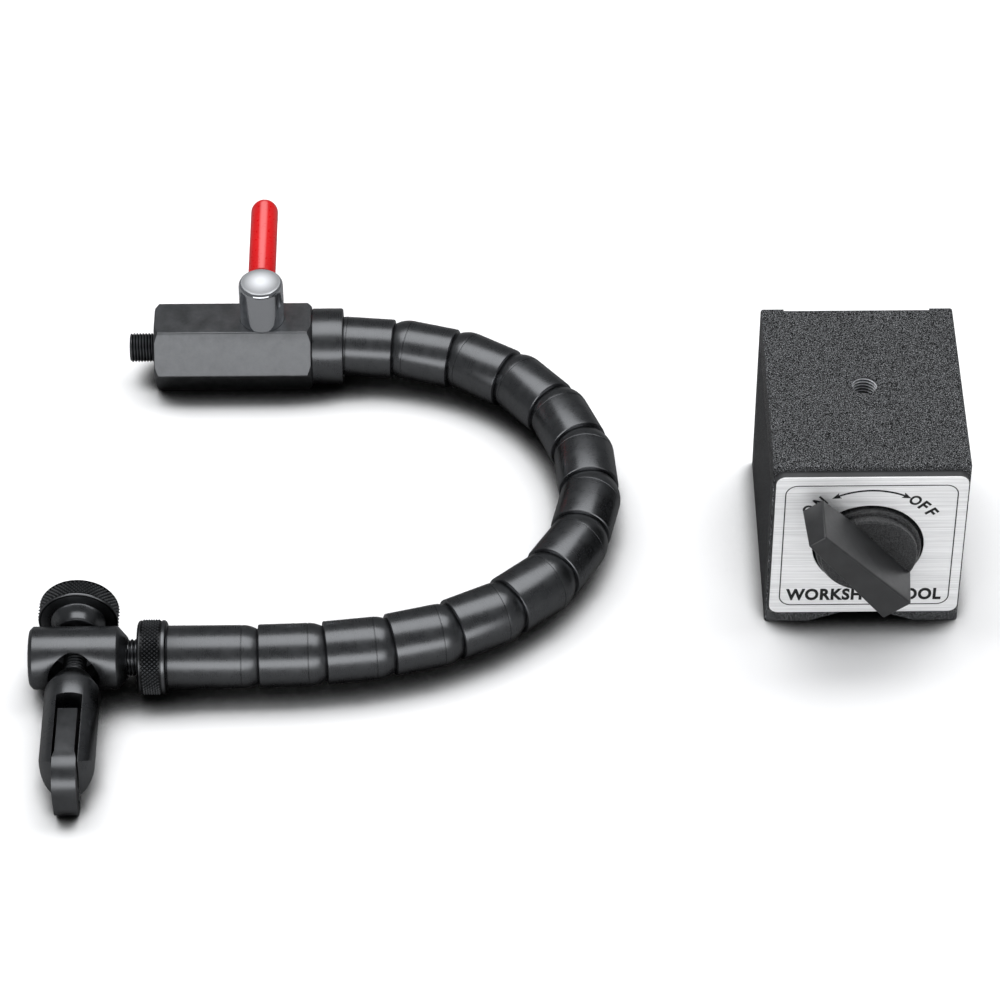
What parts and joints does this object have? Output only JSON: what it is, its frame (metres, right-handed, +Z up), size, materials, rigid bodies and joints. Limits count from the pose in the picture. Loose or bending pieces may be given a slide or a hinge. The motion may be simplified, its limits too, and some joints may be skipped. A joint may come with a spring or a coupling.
{
  "type": "dial indicator magnetic base with flexible arm",
  "caption": "Switchable magnetic base block with a turn knob, and a flexible ball-link arm with cam lever and slotted tool clamp lying beside it.",
  "frame": {"origin": "centre of the magnetic base's footprint, on the bench plane", "axes": "+Z up along the arm's tapped hole, -Y towards the label and the switch knob, arm lying on the -X side"},
  "size_m": [0.2379, 0.203, 0.055],
  "materials": {
    "crackle_paint": "rough speckled crackle coat",
    "smooth_paint": "smooth satin grey",
    "ground_steel": "ground",
    "brass": "satin",
    "label_aluminium": "brushed",
    "knob_plastic": "fine-grained",
    "ferrite": "matt ceramic",
    "zinc": "cast",
    "black_oxide": "black oxide, satin",
    "hex_coat": "matt dark grey",
    "chrome": "polished",
    "red_plastic": "glossy",
    "bright_steel": "bright",
    "wire_rope": "stranded"
  },
  "bodies": {
    "magnetic_base": {"housing_cover": "crackle_paint", "pole_block_left": "smooth_paint", "pole_block_right": "smooth_paint", "separator_bottom": "brass", "separator_top": "brass", "front_panel": "smooth_paint", "label_plate": "label_aluminium", "panel_screws": "bright_steel", "stop_pin": "bright_steel"},
    "rotor": {"rotor_magnet": "ferrite", "rotor_pole_shoes": "ground_steel", "rotor_dowels": "bright_steel", "rotor_front_cap": "zinc", "rotor_rear_cap": "zinc", "switch_knob": "knob_plastic", "knob_pin": "bright_steel"},
    "arm_block": {"hex_block": "hex_coat", "base_stud": "black_oxide", "socket_collar": "black_oxide", "tension_cable": "wire_rope"},
    "cam_lever": {"cam_shaft": "chrome", "cam_clip": "bright_steel", "lever_rod": "bright_steel", "lever_grip": "red_plastic"},
    "puller": {"cable_puller": "bright_steel", "near_ferrule": "bright_steel"},
    "link_01": {"neck_link_01": "black_oxide"},
    "link_02": {"neck_link_02": "black_oxide"},
    "link_03": {"neck_link_03": "black_oxide"},
    "link_04": {"neck_link_04": "black_oxide"},
    "link_05": {"neck_link_05": "black_oxide"},
    "link_06": {"neck_link_06": "black_oxide"},
    "link_07": {"neck_link_07": "black_oxide"},
    "link_08": {"neck_link_08": "black_oxide"},
    "link_09": {"neck_link_09": "black_oxide"},
    "link_10": {"neck_link_10": "black_oxide"},
    "link_11": {"neck_link_11": "black_oxide"},
    "link_12": {"neck_link_12": "black_oxide"},
    "link_13": {"neck_link_13": "black_oxide"},
    "sleeve": {"end_sleeve": "black_oxide", "far_ferrule": "bright_steel"},
    "nut": {"lock_nut": "black_oxide"},
    "clamp": {"clamp_stud": "black_oxide", "clamp_body": "black_oxide"},
    "bolt": {"slotted_bolt": "black_oxide"},
    "knob": {"clamp_knob": "black_oxide", "knob_washer": "black_oxide"},
    "lug": {"swivel_lug": "black_oxide"}
  },
  "joints": [
    {"name": "switch_turn", "type": "hinge", "parent": "magnetic_base", "child": "rotor", "pos_m": [0, -0.03, 0.0295], "axis": [0, 1, 0], "range_deg": [0, 90]},
    {"name": "arm_lift", "type": "slide", "parent": "magnetic_base", "child": "arm_block", "axis": [0, 0, 1], "range_m": [0, 0.07]},
    {"name": "cam_lever_turn", "type": "hinge", "parent": "arm_block", "child": "cam_lever", "pos_m": [-0.157, 0.0662, 0.029], "axis": [0, 0, 1], "range_deg": [-45, 45]},
    {"name": "cable_pull", "type": "slide", "parent": "arm_block", "child": "puller", "axis": [-1, 0, 0], "range_m": [-0.00089, 0.00089]},
    {"name": "neck_bend_01", "type": "hinge", "parent": "arm_block", "child": "link_01", "pos_m": [-0.134, 0.0662, 0.0105], "axis": [0, 0, -1], "range_deg": [-28, 16], "deforming": ["tension_cable"]},
    {"name": "neck_bend_02", "type": "hinge", "parent": "link_01", "child": "link_02", "pos_m": [-0.11729, 0.06444, 0.0105], "axis": [0, 0, -1], "range_deg": [-33, 11]},
    {"name": "neck_bend_03", "type": "hinge", "parent": "link_02", "child": "link_03", "pos_m": [-0.10123, 0.05953, 0.0105], "axis": [0, 0, -1], "range_deg": [-38, 6]},
    {"name": "neck_bend_04", "type": "hinge", "parent": "link_03", "child": "link_04", "pos_m": [-0.08714, 0.05038, 0.0105], "axis": [0, 0, -1], "range_deg": [-40, 4]},
    {"name": "neck_bend_05", "type": "hinge", "parent": "link_04", "child": "link_05", "pos_m": [-0.07656, 0.03733, 0.0105], "axis": [0, 0, -1], "range_deg": [-40, 4]},
    {"name": "neck_bend_06", "type": "hinge", "parent": "link_05", "child": "link_06", "pos_m": [-0.07054, 0.02164, 0.0105], "axis": [0, 0, -1], "range_deg": [-39, 5]},
    {"name": "neck_bend_07", "type": "hinge", "parent": "link_06", "child": "link_07", "pos_m": [-0.06937, 0.00488, 0.0105], "axis": [0, 0, -1], "range_deg": [-39, 5]},
    {"name": "neck_bend_08", "type": "hinge", "parent": "link_07", "child": "link_08", "pos_m": [-0.07315, -0.01149, 0.0105], "axis": [0, 0, 1], "range_deg": [-4, 40]},
    {"name": "neck_bend_09", "type": "hinge", "parent": "link_08", "child": "link_09", "pos_m": [-0.0818, -0.02589, 0.0105], "axis": [0, 0, 1], "range_deg": [-4, 40]},
    {"name": "neck_bend_10", "type": "hinge", "parent": "link_09", "child": "link_10", "pos_m": [-0.09448, -0.03691, 0.0105], "axis": [0, 0, 1], "range_deg": [-8, 36]},
    {"name": "neck_bend_11", "type": "hinge", "parent": "link_10", "child": "link_11", "pos_m": [-0.10945, -0.04454, 0.0105], "axis": [0, 0, 1], "range_deg": [-10, 34]},
    {"name": "neck_bend_12", "type": "hinge", "parent": "link_11", "child": "link_12", "pos_m": [-0.12568, -0.04888, 0.0105], "axis": [0, 0, 1], "range_deg": [-14, 30]},
    {"name": "neck_bend_13", "type": "hinge", "parent": "link_12", "child": "link_13", "pos_m": [-0.14235, -0.05093, 0.0105], "axis": [0, 0, 1], "range_deg": [-17, 27]},
    {"name": "neck_bend_14", "type": "hinge", "parent": "link_13", "child": "sleeve", "pos_m": [-0.15914, -0.05152, 0.0105], "axis": [0, 0, 1], "range_deg": [-20, 24]},
    {"name": "clamp_swivel", "type": "hinge", "parent": "sleeve", "child": "clamp", "pos_m": [-0.17414, -0.05152, 0.0105], "axis": [-1, 0, 0], "range_deg": [0, 180]},
    {"name": "lock_nut_turn", "type": "hinge", "parent": "sleeve", "child": "nut", "pos_m": [-0.18114, -0.05152, 0.0105], "axis": [-1, 0, 0], "range_deg": [-180, 180]},
    {"name": "bolt_swivel", "type": "hinge", "parent": "clamp", "child": "bolt", "pos_m": [-0.20144, -0.06152, 0.0105], "axis": [0, -1, 0], "range_deg": [-90, 90]},
    {"name": "clamp_knob_turn", "type": "hinge", "parent": "bolt", "child": "knob", "pos_m": [-0.20144, -0.03652, 0.0105], "axis": [0, -1, 0], "range_deg": [-180, 180]},
    {"name": "lug_slide", "type": "slide", "parent": "bolt", "child": "lug", "axis": [0, -1, 0], "range_m": [-0.005, 0.012]}
  ],
  "couplings": [
    {"joint": "cam_lever_turn", "follows": "cable_pull", "rad_per_m": 886.5}
  ]
}
